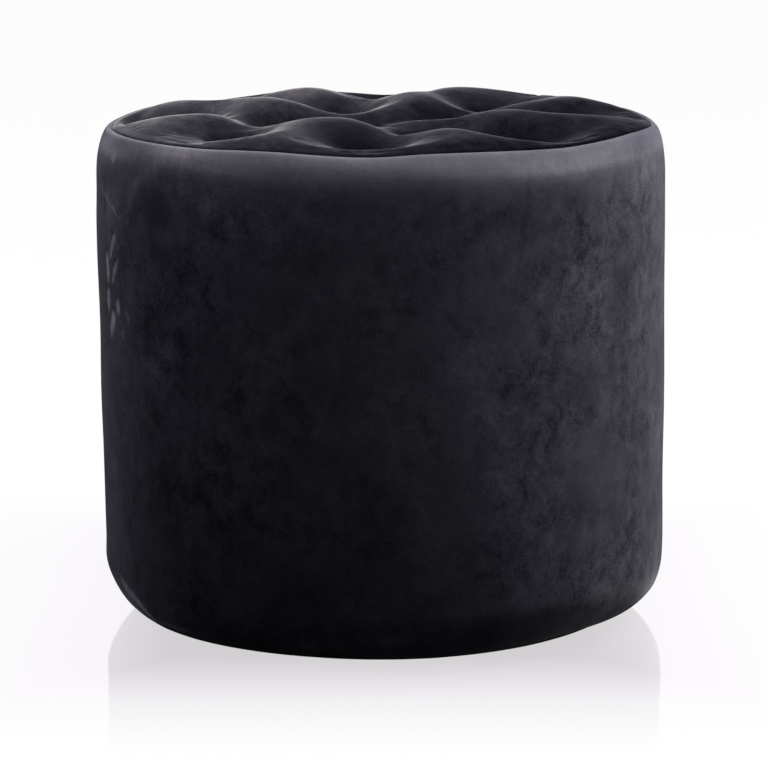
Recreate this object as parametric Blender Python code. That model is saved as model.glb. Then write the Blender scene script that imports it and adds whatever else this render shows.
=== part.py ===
# Round velvet pouf with a buttoned seat, modelled as the pieces that an upholsterer puts together.
# Metres, +Z up, origin on the floor under the middle of the pouf. The front is towards -Y.
import math

import bmesh
import bpy
from mathutils import Vector
from mathutils.geometry import delaunay_2d_cdt

# Overall form
SIDE_RADIUS = 0.230
SEAM_HEIGHT = 0.402
SEAM_INSET = 0.0123
SHOULDER_DROP = 0.0407

# Play between pieces that touch, and how many flats the round pieces have
GAP = 0.0003
DRUM_SEGMENTS = 48
ROUND_SEGMENTS = 12
SMALL_SEGMENTS = 8
SHARP_ANGLE = math.radians(35)

# Covers
COVER_THICKNESS = 0.0018
SEAM_ALLOWANCE = 0.006
HEM_WIDTH = 0.025
DUST_COVER_THICKNESS = 0.0006
DUST_COVER_LAP = 0.012
ROUNDING_STEPS = 5
SHOULDER_STEPS = 3

# Frame
BOARD_THICKNESS = 0.015
BOARD_EDGE_EASE = 0.0007
DRUM_WALL_THICKNESS = 0.003
DRUM_WALL_REVEAL = 0.001
BUTT_JOINT = 0.001
POST_COUNT = 6
POST_WIDTH = 0.038
POST_DEPTH = 0.028
POST_CORNER = 0.002

# Foam
SIDE_FOAM_THICKNESS = 0.040
SEAT_FOAM_DEPTH = 0.058

# Seat crown: how far it rises above the seam, and how flat it is before it falls to the rim
CROWN_RISE = 0.016
CROWN_POWER = 5.8

# Tufts, set by hand: two rings of buttons and one near the middle. Each has its angle from the front in
# degrees, towards +X, the share of the stray by which it leaves its ring, and its share of the depth
OUTER_TUFT_INSET = 0.0283
TUFT_RING_SPACING = 0.079
TUFT_STRAY = 0.010
TUFT_DEPTH = 0.020
OUTER_TUFTS = (
    (-4, -0.8, 0.93),
    (47, -0.4, 0.98),
    (96, -0.4, 0.75),
    (140, -1.6, 0.95),
    (180, 1.2, 0.75),
    (222, 1.1, 1.00),
    (263, 0.9, 1.05),
    (311, 0.1, 0.70),
)
INNER_TUFTS = (
    (25, -0.2, 0.93),
    (115, -1.2, 1.20),
    (201, 1.5, 0.98),
    (285, 0.0, 1.23),
)
MIDDLE_TUFTS = ((270, 1.9, 0.95),)
TUFT_SPREAD = 0.0355
TUFT_POWER = 2.1
TUFT_FADE = 0.010
BUTTON_WELL_DEPTH = 0.008
BUTTON_WELL_SPREAD = 0.009

# Buttons, and the twine that pulls them down
BUTTON_RADIUS = 0.0085
BUTTON_EDGE = 0.0016
BUTTON_DOME = 0.0032
BUTTON_PLAY = 0.0005
TWINE_RADIUS = 0.0012
TWINE_PLAY = 0.0006
KNOT_RADIUS = 0.005
KNOT_LENGTH = 0.0045

# Screws
SCREW_LENGTH = 0.040
SCREW_RADIUS = 0.002
SCREW_HEAD_RADIUS = 0.004
SCREW_HEAD_DEPTH = 0.0025
SCREW_POINT = 0.004

# Glides
GLIDE_COUNT = 6
GLIDE_INSET = 0.008
GLIDE_RADIUS = 0.012
GLIDE_THICKNESS = 0.0032
GLIDE_EDGE = 0.0012
NAIL_RADIUS = 0.0012
NAIL_LENGTH = 0.012

# Spacing of the seat's points between the tufts, and points round each tuft
SEAT_GRID = 0.0225
TUFT_POINTS = 8

# Levels and radii that follow from the sizes above
DUST_COVER_BOTTOM = GLIDE_THICKNESS + GAP
HEM_BOTTOM = DUST_COVER_BOTTOM + DUST_COVER_THICKNESS + GAP
BASE_BOTTOM = HEM_BOTTOM + COVER_THICKNESS + GAP
BASE_TOP = BASE_BOTTOM + BOARD_THICKNESS
SEAT_BOARD_TOP = SEAM_HEIGHT - COVER_THICKNESS - GAP - SEAT_FOAM_DEPTH
SEAT_BOARD_BOTTOM = SEAT_BOARD_TOP - BOARD_THICKNESS
SHOULDER_HEIGHT = SEAM_HEIGHT - SHOULDER_DROP
ALLOWANCE_BOTTOM = SEAM_HEIGHT - SEAM_ALLOWANCE
SEAM_RADIUS = SIDE_RADIUS - SEAM_INSET
SEAT_RADIUS = SEAM_RADIUS - COVER_THICKNESS
FOAM_RADIUS = SIDE_RADIUS - COVER_THICKNESS - GAP
DRUM_RADIUS = FOAM_RADIUS - SIDE_FOAM_THICKNESS - GAP
BOARD_RADIUS = DRUM_RADIUS - DRUM_WALL_THICKNESS - GAP
ROUNDING = SIDE_RADIUS - BOARD_RADIUS - BOARD_EDGE_EASE
HEM_RADIUS = SIDE_RADIUS - ROUNDING - HEM_WIDTH
DUST_COVER_RADIUS = HEM_RADIUS + DUST_COVER_LAP
OUTER_TUFT_RING = BOARD_RADIUS - OUTER_TUFT_INSET
INNER_TUFT_RING = OUTER_TUFT_RING - TUFT_RING_SPACING
POST_RING = (INNER_TUFT_RING + OUTER_TUFT_RING) / 2
GLIDE_RING = HEM_RADIUS - GLIDE_INSET - GLIDE_RADIUS
TUFT_FLAT = BUTTON_RADIUS + BUTTON_PLAY
TWINE_HOLE = TWINE_RADIUS + TWINE_PLAY
SCREW_HOLE = SCREW_RADIUS + GAP
COUNTERSINK = SCREW_HEAD_RADIUS + 2 * GAP
NAIL_HOLE = NAIL_RADIUS + GAP


def clear_scene():
    for old in list(bpy.data.objects):
        bpy.data.objects.remove(old, do_unlink=True)


def material(name, colour, roughness, metallic=0.0):
    made = bpy.data.materials.new(name)
    made.use_nodes = True
    shader = made.node_tree.nodes["Principled BSDF"]
    shader.inputs["Base Color"].default_value = (*colour, 1)
    shader.inputs["Roughness"].default_value = roughness
    shader.inputs["Metallic"].default_value = metallic
    return made


def place(name, mesh, finish, location=(0, 0, 0), turn=(0, 0, 0)):
    piece = bpy.data.objects.new(name, mesh)
    bpy.context.scene.collection.objects.link(piece)
    piece.location = location
    piece.rotation_euler = turn
    piece.parent = bpy.data.objects["pouf"]
    if not mesh.materials:
        mesh.materials.append(finish)


# Turns a finished bmesh into a mesh that is smooth except at its sharp edges
def finish_mesh(name, shape):
    bmesh.ops.recalc_face_normals(shape, faces=shape.faces)
    mesh = bpy.data.meshes.new(name)
    shape.to_mesh(mesh)
    shape.free()
    mesh.shade_smooth()
    mesh.set_sharp_from_angle(angle=SHARP_ANGLE)
    return mesh


# Spins an outline of (radius, height) points about the upright axis. A closed outline makes a ring,
# and an open one starts and ends on the axis. A joint leaves a slit of that width at the back.
def turned_mesh(name, outline, segments, closed=False, joint=0.0):
    shape = bmesh.new()
    slit = joint / max(radius for radius, height in outline)
    start = math.pi / 2 + slit / 2 if joint else 0.0
    corners = [shape.verts.new((r * math.cos(start), r * math.sin(start), z)) for r, z in outline]
    pairs = list(zip(corners, corners[1:]))
    if closed:
        pairs.append((corners[-1], corners[0]))
    edges = [shape.edges.new(pair) for pair in pairs]
    bmesh.ops.spin(shape, geom=edges + corners, axis=(0, 0, 1), cent=(0, 0, 0),
                   angle=math.tau - slit, steps=segments)
    bmesh.ops.remove_doubles(shape, verts=shape.verts, dist=1e-6)
    if joint:
        bmesh.ops.holes_fill(shape, edges=[edge for edge in shape.edges if edge.is_boundary], sides=0)
    return finish_mesh(name, shape)


def ring_points(centre_x, centre_y, radius, count):
    angles = [math.tau * step / count for step in range(count)]
    return [Vector((centre_x + radius * math.cos(a), centre_y + radius * math.sin(a))) for a in angles]


# Triangles between an outline and the holes in it: (points, triangles, loops), the outline's loop first
def flat_plan(outline, holes, inner_points=()):
    points = []
    loops = []
    for loop in (outline, *holes):
        loops.append(range(len(points), len(points) + len(loop)))
        points += loop
    edges = [(a, b) for loop in loops for a, b in zip(loop, [*loop[1:], loop[0]])]
    made = delaunay_2d_cdt([*points, *inner_points], edges, [], 0, 1e-7)
    order = {origin: index for index, origins in enumerate(made[3]) for origin in origins}
    loops = [[order[index] for index in loop] for loop in loops]
    kept = [t for t in made[2] if not any(set(t) <= set(hole) for hole in loops[1:])]
    return [tuple(point) for point in made[0]], kept, loops


# Lays a plan out as faces at the heights given, and returns the loops of vertices
def layer(shape, plan, height_at):
    points, triangles, loops = plan
    vertices = [shape.verts.new((x, y, height_at(x, y))) for x, y in points]
    for triangle in triangles:
        shape.faces.new([vertices[index] for index in triangle])
    return [[vertices[index] for index in loop] for loop in loops]


# Stitches two equal loops of vertices together with a band of faces
def band(shape, first, second):
    for index in range(len(first)):
        after = (index + 1) % len(first)
        shape.faces.new((first[index], first[after], second[after], second[index]))


def ring(shape, x, y, radius, height, count):
    return [shape.verts.new((point.x, point.y, height)) for point in ring_points(x, y, radius, count)]


# An upright block with drilled holes. A hole is (x, y, rings), with the rings (radius, height) from its
# mouth inwards. It goes right through when it starts at one face and ends at the other.
def drilled_block(name, outline, bottom, top, holes):
    shape = bmesh.new()
    ends = {}
    for height in (bottom, top):
        mouths = [(x, y, r) for x, y, rings in holes for r, z in (rings[0], rings[-1]) if z == height]
        loops = [ring_points(x, y, radius, SMALL_SEGMENTS) for x, y, radius in mouths]
        made = layer(shape, flat_plan(outline, loops), lambda x, y: height)
        ends[height] = (made[0], {mouth[:2]: loop for mouth, loop in zip(mouths, made[1:])})
    band(shape, ends[bottom][0], ends[top][0])
    for x, y, rings in holes:
        previous = ends[rings[0][1]][1][(x, y)]
        for radius, height in rings[1:-1]:
            inner = ring(shape, x, y, radius, height, SMALL_SEGMENTS)
            band(shape, previous, inner)
            previous = inner
        radius, height = rings[-1]
        if height in ends:
            band(shape, previous, ends[height][1][(x, y)])
        else:
            inner = ring(shape, x, y, radius, height, SMALL_SEGMENTS)
            band(shape, previous, inner)
            shape.faces.new(inner)
    return finish_mesh(name, shape)


# Where the tufts are, as (x, y, depth)
def tuft_places():
    places = []
    rings = (OUTER_TUFT_RING, OUTER_TUFTS), (INNER_TUFT_RING, INNER_TUFTS), (0, MIDDLE_TUFTS)
    for tuft_ring, tufts in rings:
        for degrees, stray, depth in tufts:
            angle = math.radians(degrees)
            radius = tuft_ring + stray * TUFT_STRAY
            places.append((radius * math.sin(angle), -radius * math.cos(angle), depth * TUFT_DEPTH))
    return places


TUFT_PLACES = tuft_places()


# Height of the seat cover's outer face. Each tuft is a flat for its button, in a narrow well at the bottom
# of a soft bell that fades out at the seam.
def seat_height(x, y):
    radius = math.hypot(x, y)
    height = SEAM_HEIGHT + CROWN_RISE * (1 - min(radius / SEAM_RADIUS, 1) ** CROWN_POWER)
    fade = min(max((SEAT_RADIUS - radius) / TUFT_FADE, 0), 1)
    fade = fade * fade * (3 - 2 * fade)
    for tuft_x, tuft_y, depth in TUFT_PLACES:
        away = max(math.hypot(x - tuft_x, y - tuft_y) - TUFT_FLAT, 0)
        height -= fade * depth * math.exp(-((away / TUFT_SPREAD) ** TUFT_POWER))
        height -= fade * BUTTON_WELL_DEPTH * math.exp(-((away / BUTTON_WELL_SPREAD) ** 2))
    return height


# The underside of a button, clear of the cover all round
def button_seat(x, y):
    edge = ring_points(x, y, BUTTON_RADIUS, ROUND_SEGMENTS)
    return max(seat_height(point.x, point.y) for point in edge) + GAP


# The seat's points: a ring inside the rim, rings round the tufts, and a staggered grid between them
def seat_points():
    rim = SEAT_RADIUS - TUFT_FADE
    points = ring_points(0, 0, rim, DRUM_SEGMENTS)
    for x, y, _ in TUFT_PLACES:
        points += ring_points(x, y, TUFT_FLAT, TUFT_POINTS)
    rows = int(2 * SEAT_RADIUS / SEAT_GRID)
    for row in range(-rows, rows + 1):
        y = row * SEAT_GRID * math.sqrt(3) / 2
        for column in range(-rows, rows + 1):
            x = (column + row % 2 / 2) * SEAT_GRID
            apart = min(math.hypot(x - tuft_x, y - tuft_y) for tuft_x, tuft_y, _ in TUFT_PLACES)
            if apart > TUFT_FLAT + SEAT_GRID / 2 and math.hypot(x, y) < rim - SEAT_GRID / 2:
                points.append(Vector((x, y)))
    return points


def seat_plan(outer_radius, inner_points):
    outline = ring_points(0, 0, outer_radius, DRUM_SEGMENTS)
    holes = [ring_points(x, y, TWINE_HOLE, TUFT_POINTS) for x, y, _ in TUFT_PLACES]
    return flat_plan(outline, holes, inner_points)


# The same triangles with the outline drawn in, so that two layers never cross
def drawn_in(plan, radius):
    points, triangles, loops = plan
    edge = {index: Vector(points[index]).normalized() * radius for index in loops[0]}
    return [tuple(edge.get(index, point)) for index, point in enumerate(points)], triangles, loops


# Carries a loop of vertices down through rings of (radius, height), and returns the last ring
def skirt(shape, loop, outline):
    for radius, height in outline:
        lower = ring(shape, 0, 0, radius, height, DRUM_SEGMENTS)
        band(shape, loop, lower)
        loop = lower
    return loop


# The points of a quarter ellipse, from its side to its end above or below the centre
def quarter(centre, across, upright, steps):
    angles = [math.pi / 2 * step / steps for step in range(steps + 1)]
    return [(centre[0] + across * math.cos(a), centre[1] + upright * math.sin(a)) for a in angles]


def shoulder(inset, seam_side, play=0.0):
    centre = (SEAM_RADIUS + seam_side, SHOULDER_HEIGHT)
    return quarter(centre, SEAM_INSET - inset - seam_side, SHOULDER_DROP - inset - play, SHOULDER_STEPS)


def lower_rounding(inset):
    centre = (SIDE_RADIUS - ROUNDING, HEM_BOTTOM + ROUNDING)
    return quarter(centre, ROUNDING - inset, inset - ROUNDING, ROUNDING_STEPS)


# The velvet seat panel. Its edge turns down inside the seam.
def seat_cover_mesh():
    shape = bmesh.new()
    plan = seat_plan(SEAT_RADIUS, seat_points())
    top = layer(shape, plan, seat_height)
    bottom = layer(shape, plan, lambda x, y: seat_height(x, y) - COVER_THICKNESS)
    for upper, lower in zip(top[1:], bottom[1:]):
        band(shape, upper, lower)
    edge = [(SEAM_RADIUS, SEAM_HEIGHT), (SEAM_RADIUS, ALLOWANCE_BOTTOM), (SEAT_RADIUS, ALLOWANCE_BOTTOM)]
    band(shape, skirt(shape, top[0], edge), bottom[0])
    return finish_mesh("seat_cover", shape)


# The seat pad. It follows the panel, has a groove for the seam's allowances and fills the shoulder.
def seat_foam_mesh():
    shape = bmesh.new()
    under_cover = COVER_THICKNESS + GAP
    crown_edge = SEAT_RADIUS - GAP
    top_plan = drawn_in(seat_plan(SEAT_RADIUS, seat_points()), crown_edge)
    top = layer(shape, top_plan, lambda x, y: seat_height(x, y) - under_cover - GAP)
    bottom = layer(shape, seat_plan(FOAM_RADIUS, []), lambda x, y: SEAT_BOARD_TOP + GAP)
    for upper, lower in zip(top[1:], bottom[1:]):
        band(shape, upper, lower)
    groove_side = under_cover + GAP
    groove = [(crown_edge, ALLOWANCE_BOTTOM - GAP), (SEAM_RADIUS + groove_side, ALLOWANCE_BOTTOM - GAP)]
    curve = shoulder(under_cover, groove_side, 2 * GAP)[::-1]
    band(shape, skirt(shape, top[0], groove + curve), bottom[0])
    return finish_mesh("seat_foam", shape)


# The velvet side band: hem under the base, lower rounding, side, shoulder and the allowance in the seam
def side_cover_mesh():
    outer = [(HEM_RADIUS, HEM_BOTTOM), *lower_rounding(0)[::-1], *shoulder(0, GAP)]
    seam_side = GAP + COVER_THICKNESS
    allowance = [(SEAM_RADIUS + GAP, ALLOWANCE_BOTTOM), (SEAM_RADIUS + seam_side, ALLOWANCE_BOTTOM)]
    inner = [*shoulder(COVER_THICKNESS, seam_side)[::-1], *lower_rounding(COVER_THICKNESS)]
    hem_top = [(HEM_RADIUS, HEM_BOTTOM + COVER_THICKNESS)]
    return turned_mesh("side_cover", outer + allowance + inner + hem_top, DRUM_SEGMENTS, closed=True)


# The foam wrap. Its outer face follows the cover, and its foot thins out round the base board's edge.
def side_foam_mesh():
    inner_radius = DRUM_RADIUS + GAP
    rounding = lower_rounding(COVER_THICKNESS + GAP)
    curve = [point for point in rounding if point[0] > inner_radius]
    last, after = curve[-1], rounding[len(curve)]
    foot = last[1] + (after[1] - last[1]) * (last[0] - inner_radius) / (last[0] - after[0])
    outline = [(inner_radius, SEAT_BOARD_TOP), (FOAM_RADIUS, SEAT_BOARD_TOP), *curve, (inner_radius, foot)]
    return turned_mesh("side_foam", outline, DRUM_SEGMENTS, closed=True, joint=BUTT_JOINT)


def drum_wall_mesh():
    inner = DRUM_RADIUS - DRUM_WALL_THICKNESS
    foot = BASE_BOTTOM + DRUM_WALL_REVEAL
    outline = [(inner, foot), (inner, SEAT_BOARD_TOP), (DRUM_RADIUS, SEAT_BOARD_TOP), (DRUM_RADIUS, foot)]
    return turned_mesh("drum_wall", outline, DRUM_SEGMENTS, closed=True, joint=BUTT_JOINT)


def ring_places(radius, count, first_degrees):
    angles = [math.radians(first_degrees) + math.tau * step / count for step in range(count)]
    return [(radius * math.cos(a), radius * math.sin(a), a) for a in angles]


def post_places():
    return ring_places(POST_RING, POST_COUNT, 180 / POST_COUNT)


def glide_places():
    return ring_places(GLIDE_RING, GLIDE_COUNT, 0)


def seat_board_mesh():
    twine_rings = [(TWINE_HOLE, SEAT_BOARD_TOP), (TWINE_HOLE, SEAT_BOARD_BOTTOM)]
    sink = SEAT_BOARD_TOP - SCREW_HEAD_DEPTH - GAP
    screw_rings = [(COUNTERSINK, SEAT_BOARD_TOP), (SCREW_HOLE, sink), (SCREW_HOLE, SEAT_BOARD_BOTTOM)]
    holes = [(x, y, twine_rings) for x, y, _ in TUFT_PLACES]
    holes += [(x, y, screw_rings) for x, y, _ in post_places()]
    outline = ring_points(0, 0, BOARD_RADIUS, DRUM_SEGMENTS)
    return drilled_block("seat_board", outline, SEAT_BOARD_BOTTOM, SEAT_BOARD_TOP, holes)


def base_board_mesh():
    sink = BASE_BOTTOM + SCREW_HEAD_DEPTH + GAP
    screw_rings = [(COUNTERSINK, BASE_BOTTOM), (SCREW_HOLE, sink), (SCREW_HOLE, BASE_TOP)]
    nail_rings = [(NAIL_HOLE, BASE_BOTTOM), (NAIL_HOLE, GLIDE_THICKNESS + NAIL_LENGTH + GAP)]
    holes = [(x, y, screw_rings) for x, y, _ in post_places()]
    holes += [(x, y, nail_rings) for x, y, _ in glide_places()]
    outline = ring_points(0, 0, BOARD_RADIUS, DRUM_SEGMENTS)
    return drilled_block("base_board", outline, BASE_BOTTOM, BASE_TOP, holes)


def dust_cover_mesh():
    top = DUST_COVER_BOTTOM + DUST_COVER_THICKNESS
    rings = [(NAIL_HOLE, DUST_COVER_BOTTOM), (NAIL_HOLE, top)]
    outline = ring_points(0, 0, DUST_COVER_RADIUS, DRUM_SEGMENTS)
    holes = [(x, y, rings) for x, y, _ in glide_places()]
    return drilled_block("dust_cover", outline, DUST_COVER_BOTTOM, top, holes)


# A batten with eased corners and a pilot hole in each end
def post_mesh():
    x, y = POST_DEPTH / 2, POST_WIDTH / 2
    half = [(x, y - POST_CORNER), (x - POST_CORNER, y), (POST_CORNER - x, y), (-x, y - POST_CORNER)]
    outline = [Vector(corner) for corner in half] + [-Vector(corner) for corner in half]
    bottom = BASE_TOP + GAP
    top = SEAT_BOARD_BOTTOM - GAP
    pilot = SCREW_LENGTH - BOARD_THICKNESS + 2 * GAP
    ends = ((bottom, bottom + pilot), (top, top - pilot))
    holes = [(0, 0, [(SCREW_HOLE, mouth), (SCREW_HOLE, end)]) for mouth, end in ends]
    return drilled_block("post", outline, bottom, top, holes)


def screw_mesh():
    shank = [(SCREW_RADIUS, -SCREW_HEAD_DEPTH), (SCREW_RADIUS, SCREW_POINT - SCREW_LENGTH)]
    outline = [(0, 0), (SCREW_HEAD_RADIUS, 0), *shank, (0, -SCREW_LENGTH)]
    return turned_mesh("screw", outline, SMALL_SEGMENTS)


# A cloth-covered button: flat underside, rolled edge and a low dome
def button_mesh():
    dome = [(BUTTON_RADIUS * math.cos(a), BUTTON_EDGE + BUTTON_DOME * math.sin(a))
            for a in (0, math.pi / 6, math.pi / 3)]
    outline = [(0, 0), (BUTTON_RADIUS - BUTTON_EDGE, 0), *dome, (0, BUTTON_EDGE + BUTTON_DOME)]
    return turned_mesh("button", outline, ROUND_SEGMENTS)


# One twine from under its button to a knot under the seat board, which is its local zero height
def tie_mesh(button_height):
    knot_top = -GAP
    knot_end = knot_top - KNOT_LENGTH
    waist = knot_top - KNOT_LENGTH / 2
    outline = [(0, button_height - GAP), (TWINE_RADIUS, button_height - GAP), (TWINE_RADIUS, knot_top)]
    outline += [(KNOT_RADIUS, knot_top), (KNOT_RADIUS, waist), (KNOT_RADIUS / 2, knot_end), (0, knot_end)]
    return turned_mesh("tie", outline, SMALL_SEGMENTS)


# A nail-on glide: a chamfered disc with its nail
def glide_mesh():
    nail_end = GLIDE_THICKNESS + NAIL_LENGTH
    inner = GLIDE_RADIUS - GLIDE_EDGE
    outline = [(0, nail_end), (NAIL_RADIUS, nail_end - NAIL_RADIUS), (NAIL_RADIUS, GLIDE_THICKNESS)]
    outline += [(inner, GLIDE_THICKNESS), (GLIDE_RADIUS, GLIDE_THICKNESS - GLIDE_EDGE)]
    outline += [(GLIDE_RADIUS, GLIDE_EDGE), (inner, 0), (0, 0)]
    return turned_mesh("glide", outline, ROUND_SEGMENTS)


def build_frame():
    plywood = material("birch plywood", (0.62, 0.45, 0.27), 0.65)
    pine = material("pine batten", (0.70, 0.52, 0.31), 0.7)
    hardboard = material("brown hardboard", (0.22, 0.13, 0.07), 0.75)
    steel = material("zinc-plated steel", (0.62, 0.62, 0.60), 0.35, 1.0)
    place("base_board", base_board_mesh(), plywood)
    place("seat_board", seat_board_mesh(), plywood)
    place("drum_wall", drum_wall_mesh(), hardboard)
    post = post_mesh()
    screw = screw_mesh()
    for number, (x, y, angle) in enumerate(post_places(), 1):
        place(f"post_{number}", post, pine, (x, y, 0), (0, 0, angle))
        place(f"seat_screw_{number}", screw, steel, (x, y, SEAT_BOARD_TOP - GAP))
        place(f"base_screw_{number}", screw, steel, (x, y, BASE_BOTTOM + GAP), (math.pi, 0, 0))


def build_padding():
    foam = material("yellowed foam", (0.72, 0.66, 0.45), 0.95)
    place("side_foam", side_foam_mesh(), foam)
    place("seat_foam", seat_foam_mesh(), foam)


def build_covers():
    velvet = material("near-black velvet", (0.012, 0.0115, 0.016), 0.85)
    cloth = material("black non-woven cloth", (0.02, 0.02, 0.021), 0.95)
    place("side_cover", side_cover_mesh(), velvet)
    place("seat_cover", seat_cover_mesh(), velvet)
    place("dust_cover", dust_cover_mesh(), cloth)


def build_tufts():
    velvet = material("near-black button velvet", (0.012, 0.0115, 0.016), 0.85)
    twine = material("waxed twine", (0.55, 0.50, 0.40), 0.8)
    button = button_mesh()
    for number, (x, y, _) in enumerate(TUFT_PLACES, 1):
        underside = button_seat(x, y)
        place(f"button_{number:02d}", button, velvet, (x, y, underside))
        place(f"tie_{number:02d}", tie_mesh(underside - SEAT_BOARD_BOTTOM), twine, (x, y, SEAT_BOARD_BOTTOM))


def build_glides():
    plastic = material("black polypropylene", (0.03, 0.03, 0.03), 0.45)
    glide = glide_mesh()
    for number, (x, y, _) in enumerate(glide_places(), 1):
        place(f"glide_{number}", glide, plastic, (x, y, 0))


def main():
    clear_scene()
    pouf = bpy.data.objects.new("pouf", None)
    bpy.context.scene.collection.objects.link(pouf)
    build_frame()
    build_padding()
    build_covers()
    build_tufts()
    build_glides()


main()
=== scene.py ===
import math

import bmesh
import bpy
import numpy as np
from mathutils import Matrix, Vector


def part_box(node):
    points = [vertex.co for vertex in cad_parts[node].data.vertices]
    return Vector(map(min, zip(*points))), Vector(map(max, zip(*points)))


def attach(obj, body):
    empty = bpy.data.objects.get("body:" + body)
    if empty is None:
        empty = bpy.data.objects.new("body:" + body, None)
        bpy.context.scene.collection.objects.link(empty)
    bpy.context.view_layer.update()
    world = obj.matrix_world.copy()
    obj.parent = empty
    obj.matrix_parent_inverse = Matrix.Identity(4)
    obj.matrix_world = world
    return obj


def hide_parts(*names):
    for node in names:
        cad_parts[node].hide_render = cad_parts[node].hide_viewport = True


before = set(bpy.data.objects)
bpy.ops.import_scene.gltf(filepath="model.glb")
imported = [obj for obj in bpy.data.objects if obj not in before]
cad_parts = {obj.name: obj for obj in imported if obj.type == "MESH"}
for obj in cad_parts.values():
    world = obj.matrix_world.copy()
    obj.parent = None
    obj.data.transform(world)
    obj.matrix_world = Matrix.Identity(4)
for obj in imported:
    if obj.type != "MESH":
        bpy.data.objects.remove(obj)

# A round pouf: a tufted velvet seat panel sewn to a velvet side band, over a foam-wrapped drum. Metres,
# standing on the floor, with its front towards -Y. A heading or turn is measured from there towards +X.

scene = bpy.context.scene
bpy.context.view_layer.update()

# Sizes that the new pieces share with the frame
form = {
    "sideRadius": 0.230,
    "seamRadius": 0.2177,
    "seamHeight": 0.402,
    "shoulderHeight": 0.3613,
    "lowerRounding": 0.045,
    "hemHeight": 0.0044,
    "hemRadius": 0.160,
    "turnedEdge": 0.396,  # foot of both turned edges in the seam
    "cloth": 0.0018,
    "play": 0.0003,
    "seatBoardTop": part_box("seat_board")[1].z,
    "drumRadius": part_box("drum_wall")[1].x,
}
# Middle and top of the lower rounding, and how far the shoulder falls from the seam
roundCentre, roundTop = form["sideRadius"] - form["lowerRounding"], form["hemHeight"] + form["lowerRounding"]
shoulderDrop = form["seamHeight"] - form["shoulderHeight"]

# How far the seam rises and dips round the pouf, as (degrees from the front towards +X, millimetres)
seamWave = (
    (-81, -2), (-65, -1.2), (-46, -0.4), (-37, 0.2), (-29, 1.7), (-21, 2.1), (-12, 0.7), (-5, -0.4),
    (1, 0), (7, 2), (15, 2.4), (23, 2.1), (40, 0.5), (51, 2), (63, 3.4), (75, 2.2), (91, -1.4),
    (112, 0.6), (140, -1.2), (156, 0.5), (172, -2.5), (179, -5), (186, -2.5), (200, 0.5), (222, -3.4),
    (240, -0.2), (258, -2.6),
)


# From 0 to 1 along 3 v squared less 2 v cubed
def smoothStep(value):
    held = np.clip(value, 0, 1)
    return held * held * (3 - 2 * held)


def joined(*parts):
    return np.concatenate(parts)


# Values side by side along a new last axis, each spread to the shape that they share
def stacked(*parts):
    return np.stack(np.broadcast_arrays(*parts), axis=-1)


# Sum of a few sine waves of different directions and lengths: a soft, repeatable unevenness between -1 and 1
def softWave(across, along, length, seed):
    dice = np.random.default_rng(seed)
    total = 0
    for share in (1.0, 0.8, 0.6, 0.5):
        turn, shift = dice.uniform(0, math.tau, 2)
        total = total + share * np.sin(
            math.tau / (length * share) * (across * math.cos(turn) + along * math.sin(turn)) + shift
        )
    return total / 2.9


# The seam's rise at a heading: the listed values joined up round the circle, evened out over twelve degrees
def seamLift(heading):
    listed = np.array(seamWave)
    ring = np.arange(0, 360, 0.5)
    heights = np.interp(ring, listed[:, 0] % 360, listed[:, 1], period=360)
    window = np.hanning(25) / np.hanning(25).sum()
    even = np.convolve(joined(heights[-12:], heights, heights[:12]), window, "valid")
    return np.interp(np.degrees(heading) % 360, ring, even, period=360) / 1000


# Angle from the front of a place
def headingOf(x, y):
    return np.arctan2(x, -y)


def setAll(target, settings):
    for key, value in settings.items():
        setattr(target, key, value)


def addObject(name, data):
    made = bpy.data.objects.new(name, data)
    scene.collection.objects.link(made)
    return made


# Makes a mesh object on the body from points and faces, with its normals set facing out
def makePiece(name, points, faces, material, napAndPaintedShade=None, cloth=None, weld=0.0):
    mesh = bpy.data.meshes.new(name)
    mesh.from_pydata(points.reshape(-1, 3).tolist(), [], faces)
    if cloth is not None:
        corner = np.zeros(len(mesh.loops), np.int32)
        mesh.loops.foreach_get("vertex_index", corner)
        layer = mesh.uv_layers.new(name="cloth")
        layer.data.foreach_set("uv", cloth.reshape(-1, 2)[corner].astype(np.float32).ravel())
    for key, values in (napAndPaintedShade or {}).items():
        layer = mesh.attributes.new(key, "FLOAT", "POINT")
        layer.data.foreach_set("value", values.astype(np.float32).ravel())
    shape = bmesh.new()
    shape.from_mesh(mesh)
    if weld:
        bmesh.ops.remove_doubles(shape, verts=shape.verts, dist=weld)
    bmesh.ops.recalc_face_normals(shape, faces=shape.faces)
    shape.to_mesh(mesh)
    shape.free()
    mesh.shade_smooth()
    mesh.materials.append(material)
    piece = addObject(name, mesh)
    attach(piece, "root")
    return piece


# Four-cornered faces of a grid of rows and columns, closed round its columns or its rows where asked
def gridFaces(rows, columns, closeColumns=False, closeRows=False, start=0):
    row = np.arange(rows if closeRows else rows - 1)[:, None]
    column = np.arange(columns if closeColumns else columns - 1)
    here, there = row * columns + start, (row + 1) % rows * columns + start
    after = (column + 1) % columns
    return stacked(here + column, here + after, there + after, there + column).reshape(-1, 4).tolist()


# A square grid pressed into a disc: square ring k of the grid becomes the circle of the k-th radius, and the
# points of each side of the square spread evenly over a quarter turn. Gives x, y and each point's ring.
def discGrid(radii):
    count = len(radii) - 1
    side = np.arange(-count, count + 1)
    across, along = np.meshgrid(side, side, indexing="ij")
    ring = np.maximum(abs(across), abs(along))
    radius = np.asarray(radii)[ring]
    safe = np.maximum(ring, 1)
    flatter = abs(across) >= abs(along)
    turn, other = along / safe * math.pi / 4, across / safe * math.pi / 4
    x = radius * np.where(flatter, np.sign(across) * np.cos(turn), np.sin(other))
    y = radius * np.where(flatter, np.sin(turn), np.sign(along) * np.cos(other))
    return x, y, ring


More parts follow.
